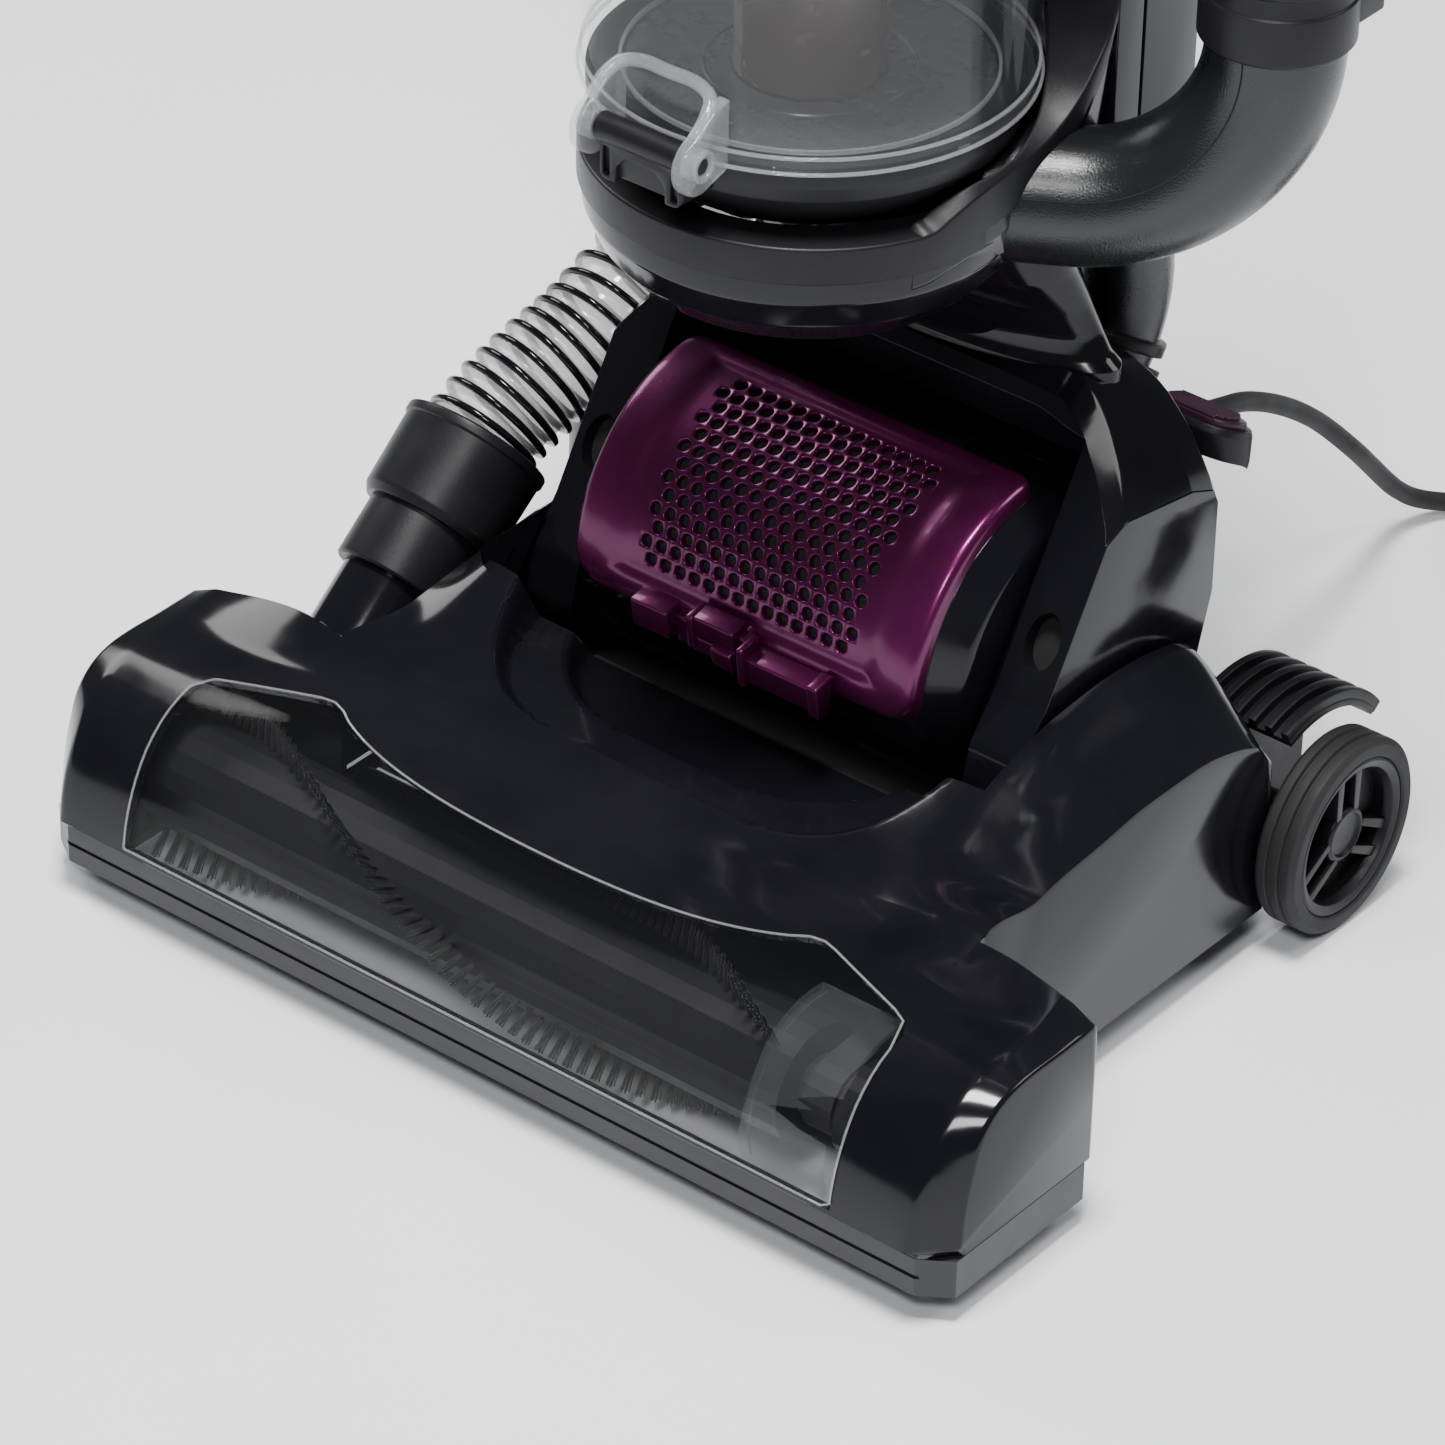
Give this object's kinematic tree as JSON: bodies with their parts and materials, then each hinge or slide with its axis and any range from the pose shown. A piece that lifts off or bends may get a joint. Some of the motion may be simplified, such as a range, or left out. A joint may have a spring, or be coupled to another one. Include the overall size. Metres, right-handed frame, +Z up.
{
  "type": "upright vacuum cleaner",
  "caption": "Upright bagless vacuum cleaner: wide floor head with clear nozzle, reclining body, clear dust bin, hoses, handle and mains lead",
  "frame": {"origin": "centre of the bottom of the bounding box of the machine without its loose cord, on the floor", "axes": "+Z up, -Y the front of the floor head, +X the machine's right-hand side"},
  "size_m": [0.3565, 0.4975, 1.0802],
  "materials": {
    "base_plate": "moulded satin black",
    "head_cover": "glossy black moulding",
    "nozzle_window": "clear moulding over the brush",
    "belt_shield": "clear inner guard",
    "bearing_left": "end cap",
    "bearing_right": "end cap",
    "drive_belt": "flat belt",
    "brush_motor": "motor can",
    "fender_left": "ribbed guard",
    "fender_right": "ribbed guard",
    "axle_left": "plain pin",
    "axle_right": "plain pin",
    "hose_socket": "inner spigot",
    "socket_sleeve": "turning sleeve",
    "hose_cuff": "ringed hose end",
    "floor_hose": "clear ribbed hose with black helix",
    "cord": "dark grey flex",
    "cord_coil": "coiled flex",
    "plug": "moulded plug",
    "hood": "glossy black moulding",
    "neck": "glossy black moulding",
    "cradle": "glossy bowl with matte band",
    "spine": "glossy black moulding",
    "rear_duct": "textured black duct",
    "elbow": "textured black elbow",
    "hose_port": "textured black elbow",
    "motor_drum": "motor housing",
    "motor": "fan motor",
    "motor_shaft": "shaft",
    "exhaust_filter": "dark filter mat",
    "cord_gland": "strain relief",
    "handle_tube": "anodised tube",
    "handle_grip": "soft black grip",
    "brush_core": "dark grey roll",
    "bristles_a": "black bristle row",
    "bristles_b": "black bristle row",
    "drive_pulley": "turned pulley",
    "wheel_left": "hub with ribbed spokes",
    "tyre_left": "grooved tread",
    "wheel_right": "hub with ribbed spokes",
    "tyre_right": "grooved tread",
    "roller_left": "small roller",
    "roller_right": "small roller",
    "filter_cover": "metallic purple, pierced",
    "cover_latch": "purple catch",
    "bin_cup": "clear bin wall",
    "bin_lid": "metallic purple lid with handle",
    "cyclone": "smoky brown inner tube",
    "shroud": "pierced metal screen",
    "premotor_filter": "pale foam",
    "door_latch": "door catch",
    "bin_door": "black bottom door",
    "bin_button": "push button",
    "hose_end": "hose collar",
    "stretch_hose": "clear ribbed hose with black helix",
    "cuff_latch": "small catch",
    "recline_pedal": "ribbed foot pedal",
    "power_switch": "rocker",
    "cord_hook": "turning hook",
    "crevice_tool": "flat nozzle"
  },
  "bodies": {
    "floor_head": {"base_plate": "base_plate", "head_cover": "head_cover", "nozzle_window": "nozzle_window", "belt_shield": "belt_shield", "bearing_left": "bearing_left", "bearing_right": "bearing_right", "drive_belt": "drive_belt", "brush_motor": "brush_motor", "fender_left": "fender_left", "fender_right": "fender_right", "axle_left": "axle_left", "axle_right": "axle_right", "hose_socket": "hose_socket", "socket_sleeve": "socket_sleeve", "hose_cuff": "hose_cuff", "floor_hose": "floor_hose", "cord": "cord", "cord_coil": "cord_coil", "plug": "plug"},
    "body": {"hood": "hood", "neck": "neck", "cradle": "cradle", "spine": "spine", "rear_duct": "rear_duct", "elbow": "elbow", "hose_port": "hose_port", "motor_drum": "motor_drum", "motor": "motor", "motor_shaft": "motor_shaft", "exhaust_filter": "exhaust_filter", "cord_gland": "cord_gland", "handle_tube": "handle_tube", "handle_grip": "handle_grip"},
    "brush_roll": {"brush_core": "brush_core", "bristles_a": "bristles_a", "bristles_b": "bristles_b"},
    "pulley": {"drive_pulley": "drive_pulley"},
    "wheel_left": {"wheel_left": "wheel_left", "tyre_left": "tyre_left"},
    "wheel_right": {"wheel_right": "wheel_right", "tyre_right": "tyre_right"},
    "roller_left": {"roller_left": "roller_left"},
    "roller_right": {"roller_right": "roller_right"},
    "filter_cover": {"filter_cover": "filter_cover"},
    "cover_latch": {"cover_latch": "cover_latch"},
    "dust_bin": {"bin_cup": "bin_cup", "bin_lid": "bin_lid", "cyclone": "cyclone", "shroud": "shroud", "premotor_filter": "premotor_filter", "door_latch": "door_latch"},
    "bin_door": {"bin_door": "bin_door"},
    "bin_button": {"bin_button": "bin_button"},
    "hose_end": {"hose_end": "hose_end", "stretch_hose": "stretch_hose"},
    "cuff_latch": {"cuff_latch": "cuff_latch"},
    "recline_pedal": {"recline_pedal": "recline_pedal"},
    "power_switch": {"power_switch": "power_switch"},
    "cord_hook": {"cord_hook": "cord_hook"},
    "crevice_tool": {"crevice_tool": "crevice_tool"}
  },
  "joints": [
    {"name": "recline", "type": "hinge", "parent": "floor_head", "child": "body", "pos_m": [0, 0.04555, 0.066], "axis": [-1, 0, 0], "range_deg": [0, 68], "deforming": ["floor_hose", "cord"]},
    {"name": "brush_spin", "type": "hinge", "parent": "floor_head", "child": "brush_roll", "pos_m": [0, -0.09445, 0.033], "axis": [1, 0, 0], "continuous": true},
    {"name": "pulley_spin", "type": "hinge", "parent": "floor_head", "child": "pulley", "pos_m": [0, -0.02445, 0.042], "axis": [1, 0, 0], "continuous": true},
    {"name": "wheel_left_roll", "type": "hinge", "parent": "floor_head", "child": "wheel_left", "pos_m": [-0.131, 0.09815, 0.0303], "axis": [1, 0, 0], "continuous": true},
    {"name": "roller_left_roll", "type": "hinge", "parent": "floor_head", "child": "roller_left", "pos_m": [-0.106, -0.04045, 0.0065], "axis": [1, 0, 0], "continuous": true},
    {"name": "wheel_right_roll", "type": "hinge", "parent": "floor_head", "child": "wheel_right", "pos_m": [0.131, 0.09815, 0.0303], "axis": [1, 0, 0], "continuous": true},
    {"name": "roller_right_roll", "type": "hinge", "parent": "floor_head", "child": "roller_right", "pos_m": [0.106, -0.04045, 0.0065], "axis": [1, 0, 0], "continuous": true},
    {"name": "filter_cover_open", "type": "hinge", "parent": "body", "child": "filter_cover", "pos_m": [0, 0.04325, 0.146], "axis": [-1, 0, 0], "range_deg": [0, 40]},
    {"name": "cover_latch_slide", "type": "slide", "parent": "filter_cover", "child": "cover_latch", "axis": [0, -1, 0], "range_m": [0, 0.003]},
    {"name": "bin_lift", "type": "slide", "parent": "body", "child": "dust_bin", "axis": [0, -0.6, 0.8], "range_m": [0, 0.06]},
    {"name": "bin_door_open", "type": "hinge", "parent": "dust_bin", "child": "bin_door", "pos_m": [0, -0.05605, 0.2716], "axis": [-1, 0, 0], "range_deg": [0, 1.6]},
    {"name": "bin_button_press", "type": "slide", "parent": "dust_bin", "child": "bin_button", "axis": [0, 0, -1], "range_m": [0, 0.0025], "stiffness_N_per_m": 300},
    {"name": "hose_end_lift", "type": "slide", "parent": "body", "child": "hose_end", "axis": [0, 0, 1], "range_m": [0, 0.02], "deforming": ["stretch_hose"]},
    {"name": "cuff_latch_press", "type": "slide", "parent": "hose_end", "child": "cuff_latch", "axis": [0, -1, 0], "range_m": [0, 0.001], "stiffness_N_per_m": 300},
    {"name": "pedal_press", "type": "hinge", "parent": "body", "child": "recline_pedal", "pos_m": [0.076, 0.09695, 0.14], "axis": [-1, 0, 0], "range_deg": [0, 10], "stiffness_Nm_per_rad": 0.4},
    {"name": "switch_rock", "type": "hinge", "parent": "body", "child": "power_switch", "pos_m": [0.03, 0.06355, 0.604], "axis": [1, 0, 0], "range_deg": [-7, 7]},
    {"name": "cord_hook_turn", "type": "hinge", "parent": "body", "child": "cord_hook", "pos_m": [0, 0.09955, 0.552], "axis": [0, 1, 0], "range_deg": [0, 180]},
    {"name": "tool_lift", "type": "slide", "parent": "body", "child": "crevice_tool", "axis": [0, 0, 1], "range_m": [0, 0.06]}
  ],
  "couplings": [
    {"joint": "pulley_spin", "follows": "brush_spin", "ratio": 1.8}
  ]
}
